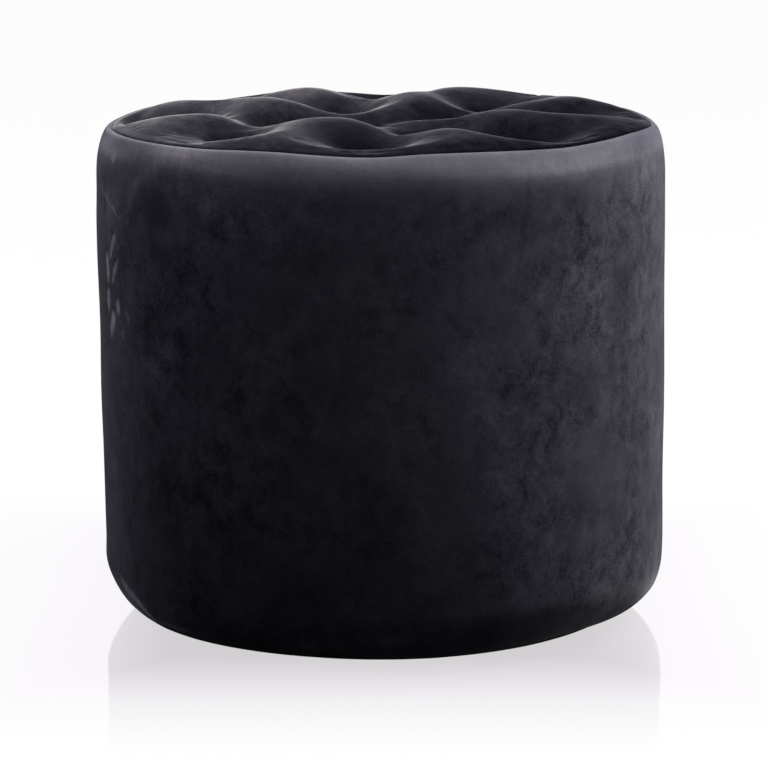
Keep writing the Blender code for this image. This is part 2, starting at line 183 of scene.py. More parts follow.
# The grid's outermost points in order, anticlockwise from above
def discRim(count, start=0):
    last = 2 * count
    size, step = last + 1, np.arange(last)
    return start + joined(step * size, last * size + step, (last - step) * size + last, last - step)


# Joins a fine upper rim to a lower rim with a quarter of its points
def joinRims(fine, coarse):
    edge = np.arange(len(fine))
    lower = coarse[((edge + 2) // 4) % len(coarse)]
    near = stacked(lower, fine[(edge + 1) % len(fine)], fine)
    step = np.arange(len(coarse))
    far = stacked(coarse, coarse[(step + 1) % len(coarse)], fine[(4 * step + 2) % len(fine)])
    return near.tolist() + far.tolist()


# A disc's top and its coarser underside, joined at their rims: the points and the faces
def closeDisc(top, low):
    start = top[..., 0].size
    faces = gridFaces(*top.shape[:2]) + gridFaces(*low.shape[:2], start=start)
    faces += joinRims(discRim(top.shape[0] // 2), discRim(low.shape[0] // 2, start))
    return joined(top.reshape(-1, 3), low.reshape(-1, 3)), faces


# Points of an outline on an ellipse: its middle plus its sizes times the cosine and sine of the turn
def arcOf(middle, sizes, first, last, count):
    turn = np.radians(np.linspace(first, last, count))
    return stacked(middle[0] + sizes[0] * np.cos(turn), middle[1] + sizes[1] * np.sin(turn))


# The place of a turn, a radius and a height
def spun(turn, radius, height):
    return stacked(radius * np.sin(turn), -radius * np.cos(turn), height)


# Side band: its outline and cloth map, which the marks in its pile need too
band = {
    "columns": 470, "seamRoll": 0.0018, "unevenness": 0.0006,
    "closingSeamDepth": 0.001, "closingSeamWidth": 0.0022,
    # By height: lean towards +X and swell, in millimetres, and how much painted shade darkens the foot
    "lean": ((0.02, 1), (0.06, 2.4), (0.12, 1.6), (0.2, 0.8), (0.33, -0.8), (0.38, -0.6), (0.402, 0)),
    "swell": ((0.004, 0), (0.06, -0.4), (0.2, 0.5), (0.33, 0.8), (0.402, 0)),
    "paintedFootShade": ((0, 0.35), (0.05, 0.45), (0.08, 0.38), (0.13, 0.2), (0.2, 0)),
    # By depth below the seam: how much painted light lies on the pile, and how blotchy it is
    "paintedLightBelow": ((0, 2.6), (0.006, 3.7), (0.012, 3.8), (0.017, 1.5), (0.023, 0.6), (0.034, 0.25),
                    (0.06, 0.15), (0.13, 0.08), (0.26, 0)),
    "unevenBelow": ((0, 0.25), (0.018, 0.35), (0.045, 1)),
    # By degrees from the front: the lower edge's fullness and lift in millimetres, then shares of painted
    # light and shade
    "footFull": ((-115, 0), (-92, -2.6), (-78, -1.8), (-66, 0.5), (-55, 3), (-45, 3), (-30, 1.5),
                 (-15, 0), (12, 0), (28, -3), (45, -4.6), (55, -3.2), (66, 0.2), (78, 2.4), (95, 0.5),
                 (115, 0)),
    "footLift": ((-80, 0), (-60, -0.4), (-45, -0.4), (-25, -0.2), (0, 0), (20, 0.2), (35, 1.2),
                 (48, 1.5), (60, 0.8), (75, 0)),
    "paintedLightAround": ((-90, 0.7), (-60, 0.95), (-40, 1.2), (0, 1), (30, 0.75), (45, 0.75), (55, 0.72),
                     (64, 0.48), (78, 0.45), (95, 0.6), (180, 0.7)),
    "paintedShadeAround": ((-90, 1), (-66, 0.9), (-55, 0.65), (-42, 0.8), (-25, 1)),
    "paintedFootShadeAround": ((-180, 0.5), (-90, 0.4), (-50, 0.5), (-30, 1), (25, 1), (45, 0.3), (60, 0), (90, 0.2),
                   (180, 0.5)),
    "unevenAround": ((0, 0.55), (20, 0.7), (45, 1.15), (90, 1.2), (180, 1.1)),
}


# A value of the band's dictionary at a place, on straight lines between the listed places
def listed(name, place):
    return np.interp(place, *np.array(band[name]).T)


# The band's outline as (radius, height) from the turned edge in the seam, over the shoulder, down the side,
# round the lower edge and in to the hem
def bandOutline():
    roll, size = band["seamRoll"], form["lowerRounding"]
    start = form["seamRadius"] + form["play"]
    upright = stacked(start, np.linspace(form["turnedEdge"], form["seamHeight"] - roll, 5)[:4])
    rolled = arcOf((start + roll, form["seamHeight"] - roll), (roll, roll), 180, 90, 9)
    across = form["sideRadius"] - start - roll
    shoulder = arcOf((start + roll, form["shoulderHeight"]), (across, shoulderDrop), 90, 0, 26)[1:]
    side = stacked(form["sideRadius"], np.linspace(form["shoulderHeight"], roundTop, 72)[1:])
    rounded = arcOf((roundCentre, roundTop), (size, size), 0, -90, 24)[1:]
    hem = stacked(np.linspace(roundCentre, form["hemRadius"], 7)[1:], form["hemHeight"])
    return joined(upright, rolled, shoulder, side, rounded, hem)


# Length along the band's outline from its turned edge to each of its points
def bandLength(outer):
    return joined([0], np.cumsum(np.hypot(*np.diff(outer, axis=0).T)))


# Place on the band's cloth map of a heading in degrees and a height in millimetres, below the seam's roll
def clothPlace(heading, height):
    outer = bandOutline()
    along = np.interp(height / 1000, outer[:12:-1, 1], bandLength(outer)[:12:-1])
    return math.radians(heading) * form["sideRadius"], along


# Materials

def startMaterial(name):
    material = bpy.data.materials.new(name)
    material.use_nodes = True
    tree = material.node_tree
    return material, tree, tree.nodes["Principled BSDF"]


# Links an input to another node's output, or gives it a value. A colour's three numbers get a fourth.
def feed(tree, socket, value):
    if isinstance(value, bpy.types.NodeSocket):
        tree.links.new(value, socket)
    elif socket.type == "RGBA" and len(value) == 3:
        socket.default_value = (*value, 1)
    else:
        socket.default_value = value


def addNode(tree, kind, inputs=None, **settings):
    made = tree.nodes.new("ShaderNode" + kind)
    setAll(made, settings)
    for key, value in (inputs or {}).items():
        feed(tree, made.inputs[key], value)
    return made


def noiseOn(tree, vector, scale, stretch=(1, 1, 1), detail=2.0, rough=0.5, swirl=0.0):
    placed = addNode(tree, "Mapping", {"Vector": vector, "Scale": stretch}).outputs[0]
    inputs = {"Vector": placed, "Scale": scale, "Detail": detail, "Roughness": rough, "Distortion": swirl}
    return addNode(tree, "TexNoise", inputs).outputs[0]


def mathOn(tree, operation, first, second=0.0, third=0.0, clamp=False):
    inputs = {0: first, 1: second, 2: third}
    return addNode(tree, "Math", inputs, operation=operation, use_clamp=clamp).outputs[0]


# A value times a factor, plus an offset
def scaled(tree, value, factor, offset=0.0, clamp=False):
    return mathOn(tree, "MULTIPLY_ADD", value, factor, offset, clamp)


def times(tree, first, second):
    return mathOn(tree, "MULTIPLY", first, second)


def vectorOn(tree, operation, *values):
    return addNode(tree, "VectorMath", dict(enumerate(values)), operation=operation).outputs[0]


def mixColours(tree, share, first, second):
    return addNode(tree, "Mix", {0: share, 6: first, 7: second}, data_type="RGBA").outputs[2]


def bumpOn(tree, height, distance, normal=None):
    inputs = {"Height": height, "Distance": distance, "Strength": 1.0}
    if normal is not None:
        inputs["Normal"] = normal
    return addNode(tree, "Bump", inputs).outputs[0]


# Whether a ray comes from the camera or by way of a mirror or glass, as a share of 1
def seenOn(tree):
    path = addNode(tree, "LightPath").outputs
    seen = mathOn(tree, "MAXIMUM", path["Is Camera Ray"], path["Is Glossy Ray"])
    return mathOn(tree, "MAXIMUM", seen, path["Is Transmission Ray"])


def objectPlace(tree):
    return addNode(tree, "TexCoord").outputs["Object"]


def setShader(tree, shader, **values):
    names = {"colour": "Base Color", "roughness": "Roughness", "normal": "Normal", "metallic": "Metallic",
             "specular": "Specular IOR Level", "sheen": "Sheen Weight", "sheenRoughness": "Sheen Roughness",
             "sheenTint": "Sheen Tint"}
    for key, value in values.items():
        feed(tree, shader.inputs[names[key]], value)


# The two velvets are one cloth. On the seat a painted sheen in the colour makes it dark looked into, light
# edge-on.
# Noises are in patterns to the metre, depths of bump in metres, and gains are shares of the lightness.
sideVelvet = {
    "pressed": (0.01, 0.0091, 0.0156), "brushed": (0.049, 0.047, 0.059), "marked": (0.24, 0.233, 0.25),
    "paintedShadeBlueFade": 0.9,
    "clouds": {"scale": 19, "detail": 4, "rough": 0.55, "swirl": 0.9},
    "blotches": {"scale": 62, "stretch": (1.2, 1, 1), "detail": 4, "rough": 0.6, "swirl": 0.6},
    "patches": {"scale": 13, "detail": 2},
    "upright": {"scale": 170, "stretch": (4, 1, 1), "detail": 2, "rough": 0.6},
    "level": {"scale": 170, "stretch": (1, 4, 1), "detail": 2, "rough": 0.6},
    "pile": {"scale": 1400, "detail": 1},
    "levelShare": 0.9,
    "patchContrast": 4.0, "patchOffset": -1.3,
    "patchRange": (0.3, 0.85),  # how strong the fine pattern is outside a patch, and how much more inside
    "cloudGain": 1.2, "blotchGain": 1.65, "streakGain": 1.0,
    "roughness": 0.85, "roughRange": 0.12,
    "sheen": 0.2, "sheenRoughness": 0.35, "sheenTint": (0.95, 0.93, 1.0),
    "specular": 0.0,
    "pileDepth": 0.00008, "streakDepth": 0.00008, "cloudDepth": 0.001,
}
# The seat adds a painted sheen: gains and powers of how edge-on it is seen, multiplied into its colour
seatVelvet = dict(sideVelvet, pressed=(0.0055, 0.0050, 0.0080), brushed=(0.0360, 0.0345, 0.0410), sheen=0.35,
                  sheenRoughness=0.15, paintedRimSheenGain=5.4, paintedRimSheenPower=5, paintedCrestSheenGain=20.0, paintedCrestSheenPower=22)

# Small smudges and creases in the side's pile, as (degrees from the front, height, half length and half width
# in millimetres, tilt in degrees, strength). A strength below nothing darkens.
pileMarks = (
    (-67.2, 387, 6.5, 5, 0, 0.5), (-68.6, 349, 22, 1.0, -22, 0.42), (-66.5, 314.5, 11, 2.6, 54, 0.6),
    (-69.9, 296.5, 9.5, 3.6, 90, 0.85), (-65.8, 295, 10.5, 2.4, 58, 0.6), (-70.2, 268.5, 8, 3.4, 87, 0.75),
    (-64.6, 267.5, 5, 3.4, 80, 0.7), (-68.1, 251.5, 9.5, 4.4, 69, 0.85), (-60, 262, 5.5, 2.5, 120, 0.2),
    (-62.5, 246.5, 4, 3, 20, 0.2), (-62.7, 35, 17, 4.5, -22, 0.6), (-57.1, 24.5, 12, 4.5, -42, 0.6),
    (-49, 19, 22, 3.5, 0, 0.25), (27.7, 340, 38, 3.0, 81, -0.26),
)


# How the marks fade and fray: size over the stated one, gain and softness of the fade, share of the blotches
# that breaks them up, and the fraying's scale and reach
markLook = {"size": 1.5, "gain": 1.8, "soft": 0.3, "broken": 1.9, "whole": 0.05, "fray": 130,
            "reach": (0.006, 0.008, 0)}


# All the marks as one signed value: each is a soft oval laid on the cloth map and fading out from its middle
def marksOn(tree, cloth, marks):
    total = 0.0
    fray = addNode(tree, "TexNoise", {"Vector": cloth, "Scale": markLook["fray"], "Detail": 2})
    fray = vectorOn(tree, "SUBTRACT", fray.outputs["Color"], (0.5, 0.5, 0.5))
    ragged = vectorOn(tree, "MULTIPLY_ADD", fray, markLook["reach"], cloth)
    for across, along, halfLength, halfWidth, tilt, strength in marks:
        size = (markLook["size"] * halfLength / 1000, markLook["size"] * halfWidth / 1000, 1)
        placing = {"Vector": ragged, "Location": (across, along, 0), "Rotation": (0, 0, -math.radians(tilt)),
                   "Scale": size}
        placed = addNode(tree, "Mapping", placing, vector_type="TEXTURE").outputs[0]
        oval = addNode(tree, "TexGradient", {"Vector": placed}, gradient_type="SPHERICAL").outputs["Fac"]
        soft = mathOn(tree, "SMOOTH_MIN", times(tree, oval, markLook["gain"]), 1.0, markLook["soft"])
        total = scaled(tree, soft, strength, total)
    return total


# Velvet on its own cloth map, in metres: swirled clouds and, in patches, blotches where the pile leans, short
# streaks along both threads of the backing, and a short pile as bump. A shade attribute holds painted light
# and shade (on buttons, their darker tone), and napUneven says how blotchy it is.
def velvetMaterial(name, look, marks=()):
    material, tree, shader = startMaterial(name)
    cloth = addNode(tree, "UVMap", uv_map="cloth").outputs[0]
    noises = ("clouds", "blotches", "patches", "upright", "level", "pile")
    clouds, blotches, patches, upright, level, pile = (noiseOn(tree, cloth, **look[key]) for key in noises)
    patches = scaled(tree, patches, look["patchContrast"], look["patchOffset"], clamp=True)
    streaks = mathOn(tree, "ADD", times(tree, level, look["levelShare"]), upright)
    fine = scaled(tree, blotches, look["blotchGain"], -look["blotchGain"] / 2)
    middle = look["streakGain"] * (1 + look["levelShare"]) / 2
    fine = scaled(tree, streaks, look["streakGain"], mathOn(tree, "SUBTRACT", fine, middle))
    outside, inside = look["patchRange"]
    fine = times(tree, fine, scaled(tree, patches, inside, outside))
    lean = scaled(tree, clouds, look["cloudGain"], mathOn(tree, "SUBTRACT", fine, look["cloudGain"] / 2))
    uneven = addNode(tree, "Attribute", attribute_name="napUneven").outputs["Fac"]
    lean = scaled(tree, lean, uneven, 0.5, clamp=True)
    colour = mixColours(tree, lean, look["pressed"], look["brushed"])
    # Painted light and shade, from the piece's shade attribute
    shade = addNode(tree, "Attribute", attribute_name="napToneAndPaintedShade").outputs["Fac"]
    if marks:
        signed = marksOn(tree, cloth, marks)
        broken = scaled(tree, blotches, markLook["broken"], markLook["whole"])
        broken = mathOn(tree, "MULTIPLY", signed, broken, clamp=True)
        shade = times(tree, shade, mathOn(tree, "ADD", 1.0, mathOn(tree, "MINIMUM", signed, 0.0)))
    if "paintedRimSheenGain" in look:
        # Painted sheen: the colour times a broad and a narrow power of how edge-on the surface is seen
        edgeOn = addNode(tree, "LayerWeight", {"Blend": 0.5}).outputs["Facing"]
        rim = scaled(tree, mathOn(tree, "POWER", edgeOn, look["paintedRimSheenPower"]), look["paintedRimSheenGain"], 1.0)
        rim = scaled(tree, mathOn(tree, "POWER", edgeOn, look["paintedCrestSheenPower"]), look["paintedCrestSheenGain"], rim)
        shade = times(tree, shade, rim)
    # The lighter the painted shade, the less blue the colour
    bluish = mathOn(tree, "POWER", shade, look["paintedShadeBlueFade"])
    tones = addNode(tree, "CombineXYZ", {0: shade, 1: shade, 2: bluish}).outputs[0]
    colour = vectorOn(tree, "MULTIPLY", colour, tones)
    if marks:
        colour = mixColours(tree, broken, colour, look["marked"])
    normal = None
    for pattern, depth in ((clouds, "cloudDepth"), (streaks, "streakDepth"), (pile, "pileDepth")):
        normal = bumpOn(tree, pattern, look[depth], normal)
    rough = scaled(tree, blotches, look["roughRange"], look["roughness"] - look["roughRange"] / 2)
    setShader(tree, shader, colour=colour, roughness=rough, normal=normal,
              **{key: look[key] for key in ("specular", "sheen", "sheenRoughness", "sheenTint")})
    return material


# A finish on Object coordinates: two colours mixed by stretched noise, with the same noise as bump
def mottledMaterial(name, dark, light, roughness, scale, stretch=(1, 1, 1), depth=0.0002, metallic=0,
                    specular=0.4):
    material, tree, shader = startMaterial(name)
    pattern = noiseOn(tree, objectPlace(tree), scale, stretch, 4.0, 0.6)
    share = scaled(tree, pattern, 2.4, -0.7, clamp=True)
    setShader(tree, shader, colour=mixColours(tree, share, dark, light), metallic=metallic, specular=specular,
              roughness=scaled(tree, pattern, 0.2, roughness - 0.1), normal=bumpOn(tree, pattern, depth))
    return material


# Birch ply: veneers of 1.5 mm show as bands of height at the edge, over stretched face grain
def plywoodMaterial():
    material, tree, shader = startMaterial("birchPlywood")
    place = objectPlace(tree)
    grain = noiseOn(tree, place, 14, (1.5, 14, 40), 5, 0.6)
    height = addNode(tree, "SeparateXYZ", {0: place}).outputs[2]
    layer = mathOn(tree, "SINE", times(tree, height, math.tau / 0.003))
    share = scaled(tree, layer, 0.22, grain, clamp=True)
    setShader(tree, shader, colour=mixColours(tree, share, (0.36, 0.22, 0.11), (0.66, 0.49, 0.30)),
              roughness=scaled(tree, grain, 0.2, 0.5), normal=bumpOn(tree, grain, 0.0003))
    return material


# Foam: open cells from a cell pattern, with a slight yellowing in clouds
def foamMaterial():
    material, tree, shader = startMaterial("yellowedFoam")
    place = objectPlace(tree)
    cells = addNode(tree, "TexVoronoi", {"Vector": place, "Scale": 700}).outputs["Distance"]
    colour = mixColours(tree, noiseOn(tree, place, 9, detail=3), (0.62, 0.52, 0.28), (0.80, 0.74, 0.52))
    dark = mathOn(tree, "MULTIPLY", cells, 0.5, clamp=True)
    setShader(tree, shader, colour=mixColours(tree, dark, colour, (0.45, 0.36, 0.18)), specular=0.2,
              roughness=scaled(tree, cells, 0.1, 0.85), normal=bumpOn(tree, cells, 0.0004))
    return material


# Waxed twine: strands that wind round, from a slanted wave
def twineMaterial():
    material, tree, shader = startMaterial("waxedTwine")
    slanted = addNode(tree, "Mapping", {"Vector": objectPlace(tree), "Rotation": (0.6, 0.5, 0)}).outputs[0]
    wave = {"Vector": slanted, "Scale": 320, "Distortion": 0.6}
    strands = addNode(tree, "TexWave", wave, bands_direction="Z").outputs["Fac"]
    setShader(tree, shader, colour=mixColours(tree, strands, (0.30, 0.25, 0.17), (0.62, 0.56, 0.44)),
              roughness=scaled(tree, strands, 0.15, 0.6), normal=bumpOn(tree, strands, 0.0003))
    return material


markPlaces = [(*clothPlace(*mark[:2]), *mark[2:]) for mark in pileMarks]
velvet = velvetMaterial("nearBlackVelvet", sideVelvet, markPlaces)
seatVelvetWithPaintedSheen = velvetMaterial("seatBlackVelvetWithPaintedSheen", seatVelvet)
plywood, foam, twine = plywoodMaterial(), foamMaterial(), twineMaterial()
pine = mottledMaterial("pineBatten", (0.46, 0.28, 0.12), (0.76, 0.58, 0.36), 0.6, 20, (3, 3, 0.25), 0.0003)
hardboard = mottledMaterial("brownHardboard", (0.12, 0.065, 0.03), (0.27, 0.165, 0.09), 0.75, 240)
zinc = mottledMaterial("zincPlatedSteel", (0.42, 0.42, 0.40), (0.72, 0.71, 0.68), 0.35, 300, depth=0.00004,
                       metallic=1)
plastic = mottledMaterial("blackGlidePlastic", (0.018, 0.018, 0.018), (0.040, 0.040, 0.041), 0.42, 500,
                          depth=0.00005)
dustCloth = mottledMaterial("blackDustCloth", (0.010, 0.010, 0.011), (0.045, 0.045, 0.048), 0.93, 420,
                            depth=0.0004, specular=0.15)


finishes = {
    "base_board": plywood, "seat_board": plywood, "drum_wall": hardboard, "post_": pine, "seat_screw": zinc,
    "base_screw": zinc, "tie_": twine, "glide_": plastic, "seat_foam": foam, "side_foam": foam,
    "seat_cover": seatVelvetWithPaintedSheen, "side_cover": velvet, "button_": seatVelvetWithPaintedSheen, "dust_cover": dustCloth,
}
for nodeName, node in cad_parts.items():
    node.data.materials.clear()
    finish = next(finishes[start] for start in finishes if nodeName.startswith(start))
    node.data.materials.append(finish)
print("frame nodes painted")

# Seat panel
seat = {
    "crownRise": 0.016, "crownPower": 5.8,
    "tuftFlat": 0.009, "tuftSpread": 0.0355, "tuftPower": 2.1, "tuftFade": 0.010,
    "wellDepth": 0.008, "wellSpread": 0.009,
    "tuftDepths": (18.6, 19.6, 15, 19, 15, 20, 21, 14, 18.6, 24, 19.6, 24.6, 19),  # millimetres, by button
    "pucker": 0.0006, "puckerReach": 0.010,
    "edgeRoll": 0.0022,
    # Painted shade on the seat: its level, then how it grows towards -X and +Y, on slopes facing -X and with
    # height
    "shade": 0.42, "paintedShadeX": -4.2, "paintedShadeY": 2.0, "paintedShadeSlopeX": 1.2, "paintedShadeRise": 38, "riseMiddle": 0.406,
    "rings": 144, "edgeRings": 12,
}

tuftNames = [f"button_{number:02d}" for number in range(1, 14)]
tuftCentres = []
for tuftName in tuftNames:
    low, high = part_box(tuftName)
    tuftCentres.append(((low.x + high.x) / 2, (low.y + high.y) / 2, low.z))


# Height of the seat's outer face: a crown that stays flat and then falls to the seam, less a bell round each
# tuft and a narrow well round its button, both faded out at the seam. Folds run out from each button.
def seatHeight(x, y, puckers=True):
    radius = np.hypot(x, y)
    rise = seat["crownRise"] * (1 - np.minimum(radius / form["seamRadius"], 1) ** seat["crownPower"])
    height = form["seamHeight"] + rise
    edge = form["seamRadius"] - form["cloth"]
    fade = smoothStep((edge - radius) / seat["tuftFade"])
    for number, (tuftX, tuftY, _) in enumerate(tuftCentres):
        away = np.hypot(x - tuftX, y - tuftY)
        beyond = np.maximum(away - seat["tuftFlat"], 0)
        bell = np.exp(-((beyond / seat["tuftSpread"]) ** seat["tuftPower"]))
        well = np.exp(-((beyond / seat["wellSpread"]) ** 2))
        height = height - fade * (bell * seat["tuftDepths"][number] / 1000 + well * seat["wellDepth"])
        if puckers:
            turn = np.arctan2(y - tuftY, x - tuftX)
            folds = np.sin((7 + number % 3) * turn + 1.7 * number + 0.8 * np.sin(2 * turn + number))
            size = seat["pucker"] * np.exp(-beyond / seat["puckerReach"]) * smoothStep(beyond / 0.004)
            height = height + fade * size * folds
    lift = seamLift(headingOf(x, y)) * smoothStep((radius - 0.175) / 0.040)
    return height + lift


# Painted shade on the seat: the exponential of the place, the height and the slope from side to side, lighter
# towards -X and +Y, on slopes facing -X and on the crowns, and darker down in the tufts
def paintedSeatShade(x, y):
    step = 0.0015
    slopeX = (seatHeight(x + step, y, False) - seatHeight(x - step, y, False)) / (2 * step)
    place = seat["paintedShadeX"] * x + seat["paintedShadeY"] * y
    place = place + seat["paintedShadeRise"] * (np.clip(seatHeight(x, y, False), 0.390, 0.420) - seat["riseMiddle"])
    return seat["shade"] * np.exp(place + seat["paintedShadeSlopeX"] * np.clip(slopeX, -0.5, 0.5))


# Rings of the panel: even circles across the seat, then a roll over the edge and down inside the seam
def seatEdge():
    roll, bottom = seat["edgeRoll"], form["turnedEdge"]
    turns = np.radians(np.linspace(66, 0, seat["edgeRings"] - 3))
    radii = form["seamRadius"] - roll + roll * np.cos(turns)
    drops = roll * (np.sin(turns) - np.sin(turns[0]))
    down = np.linspace(drops[-1], bottom - form["seamHeight"], 4)[1:]
    return joined(radii, np.full(3, radii[-1])), joined(drops, down)


# Cloth simulation of the panel. The foam's pressure pushes a coarse copy of its face, with a little slack,
# away from the held rim and buttons. What that moves, less a smoothed copy of it, is kept as folds.
settling = {
    "step": 3, "frames": 20,
    "cloth": {
        "quality": 6, "tension_stiffness": 12.0, "compression_stiffness": 12.0, "bending_stiffness": 3.0,
        "use_pressure": True, "uniform_pressure_force": 4.0, "shrink_min": -0.004,
        "vertex_group_mass": "held",
    },
    "buttonHold": 0.0095, "rimHold": 0.004, "smoothing": 4.5, "sink": 0.0006, "rise": 0.0009,
}


# Grid values at a number of steps between neighbours, along both axes, by cubic curves through four of them
def finerGrid(values, steps):
    for axis in (0, 1):
        values = np.moveaxis(values, axis, 0)
        last = len(values) - 1
        place = np.arange(last * steps + 1) / steps
        low = np.minimum(place.astype(int), last - 1)
        share = (place - low).reshape(-1, *[1] * (values.ndim - 1))
        a, b, c, d = (values[np.clip(low + shift, 0, last)] for shift in (-1, 0, 1, 2))
        cubic = a - 2.5 * b + 2 * c - d / 2 + share * (1.5 * (b - c) + (d - a) / 2)
        values = b + share * ((c - a) / 2 + share * cubic)
        values = np.moveaxis(values, 0, axis)
    return values


# A bell-weighted mean along both axes of a grid
def smoothGrid(values, spread):
    reach = int(3 * spread)
    bell = np.exp(-0.5 * (np.arange(-reach, reach + 1) / spread) ** 2)
    for axis in (0, 1):
        held = np.moveaxis(values, axis, 0)
        padded = joined(np.repeat(held[:1], reach, axis=0), held, np.repeat(held[-1:], reach, axis=0))
        held = sum(weight * padded[shift:shift + len(held)] for shift, weight in enumerate(bell / bell.sum()))
        values = np.moveaxis(held, 0, axis)
    return values


# How far each point of the face moves in the simulation, and where it is free to
def settleSeat(face):
    start = face[::settling["step"], ::settling["step"]]
    size, flat = len(start), start.reshape(-1, 3)
    away = np.min([np.hypot(flat[:, 0] - tuft[0], flat[:, 1] - tuft[1]) for tuft in tuftCentres], axis=0)
    rim = form["seamRadius"] - np.hypot(flat[:, 0], flat[:, 1])
    mesh = bpy.data.meshes.new("settling")
    mesh.from_pydata(flat.tolist(), [], gridFaces(size, size))
    mesh.flip_normals()  # the grid's faces look down
    copy = addObject("settling", mesh)
    held = copy.vertex_groups.new(name="held")
    pinned = (away < settling["buttonHold"]) | (rim < settling["rimHold"])
    held.add(np.flatnonzero(pinned).tolist(), 1.0, "REPLACE")
    cloth = copy.modifiers.new("cloth", "CLOTH")
    setAll(cloth.settings, settling["cloth"])
    cloth.settings.effector_weights.gravity = 0
    cloth.collision_settings.use_collision = False
    cloth.point_cache.frame_start, cloth.point_cache.frame_end = 1, settling["frames"]
    for frameNumber in range(1, settling["frames"] + 1):
        scene.frame_set(frameNumber)
    shaped = copy.evaluated_get(bpy.context.evaluated_depsgraph_get())
    result = np.empty(len(flat) * 3, np.float32)
    shaped.data.vertices.foreach_get("co", result)
    moved = result.reshape(size, size, 3) - start
    bpy.data.objects.remove(copy)
    bpy.data.meshes.remove(mesh)
    scene.frame_set(1)
    print("seat settled, furthest move", round(float(abs(moved).max()) * 1000, 2), "mm")
    folds = moved - smoothGrid(moved, settling["smoothing"])
    free = smoothStep((away - settling["buttonHold"]) / 0.006)
    free = free * smoothStep((rim - settling["rimHold"]) / 0.008)
    folds = np.clip(folds, -settling["sink"], settling["rise"]) * free.reshape(size, size, 1)
    return finerGrid(folds, settling["step"])


# The panel: a fine face at the seat's height with its folds, and a coarser underside a cloth's thickness in
def buildSeatPanel():
    edgeRadii, edgeDrops = seatEdge()
    flatRings = seat["rings"] - len(edgeRadii)
    radii = joined(np.linspace(0, edgeRadii[0], flatRings + 2)[:-1], edgeRadii)
    drops = joined(np.zeros(flatRings + 1), edgeDrops)
    x, y, ring = discGrid(radii)
    top = stacked(x, y, seatHeight(x, y) + drops[ring])
    folds = settleSeat(top)
    top = top + folds
    # The underside has a quarter of the rings and ends at the foot of the turned edge
    lowRadii = radii[::4].copy()
    lowRadii[-3:] = (0.2125, 0.2146, 0.2159)
    lowX, lowY, lowRing = discGrid(lowRadii)
    count = len(lowRadii) - 1
    lowZ = seatHeight(lowX, lowY, False) - form["cloth"] - 0.0002 * (lowRing > count - 3)
    lowZ = np.where(lowRing == count, form["turnedEdge"] + seamLift(headingOf(lowX, lowY)), lowZ)
    low = stacked(lowX, lowY, lowZ) + folds[::4, ::4]
    points, faces = closeDisc(top, low)
    napAndPaintedShade = {"napToneAndPaintedShade": paintedSeatShade(*points[:, :2].T), "napUneven": np.full(len(points), 0.75)}
    panel = makePiece("seatPanel", points, faces, seatVelvetWithPaintedSheen, napAndPaintedShade, points[:, :2])
    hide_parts("seat_cover")
    return panel


seatPanel = buildSeatPanel()
print("seat panel", len(seatPanel.data.polygons), "faces")

# Side band

# The same outline set in by the cloth's thickness, with few points, from the hem back up to the seam
def bandLining():
    cloth = form["cloth"]
    size = form["lowerRounding"] - cloth
    rounded = arcOf((roundCentre, roundTop), (size, size), -90, 0, 9)
    seamSide = form["seamRadius"] + form["play"] + cloth
    across = form["sideRadius"] - cloth - seamSide
    shoulder = arcOf((seamSide, form["shoulderHeight"]), (across, shoulderDrop - cloth), 0, 90, 9)
    foot = [[form["hemRadius"], form["hemHeight"] + cloth]]
    return joined(foot, rounded, shoulder, [[seamSide, form["turnedEdge"]]])


# How far the padded side stands out: it leans a little towards +X at its foot, swells towards the top, and
# its rounded lower edge is fuller or leaner by heading. None at the seam, the hem or the drum.
def sideShift(turn, radius, height):
    padded = smoothStep((radius - 0.186) / 0.030)
    shift = listed("lean", height) * np.sin(turn) + listed("swell", height)
    share = (height - form["hemHeight"]) / form["lowerRounding"]
    foot = smoothStep(share / 0.05) * smoothStep((1 - share) / 0.6)
    return (padded * shift + foot * listed("footFull", np.degrees(turn))) / 1000


# How far the lower edge stands above or below its even height
def footLift(turn, radius, height):
    share = smoothStep((radius - 0.193) / 0.008) * smoothStep((0.06 - height) / 0.04)
    return share * listed("footLift", np.degrees(turn)) / 1000


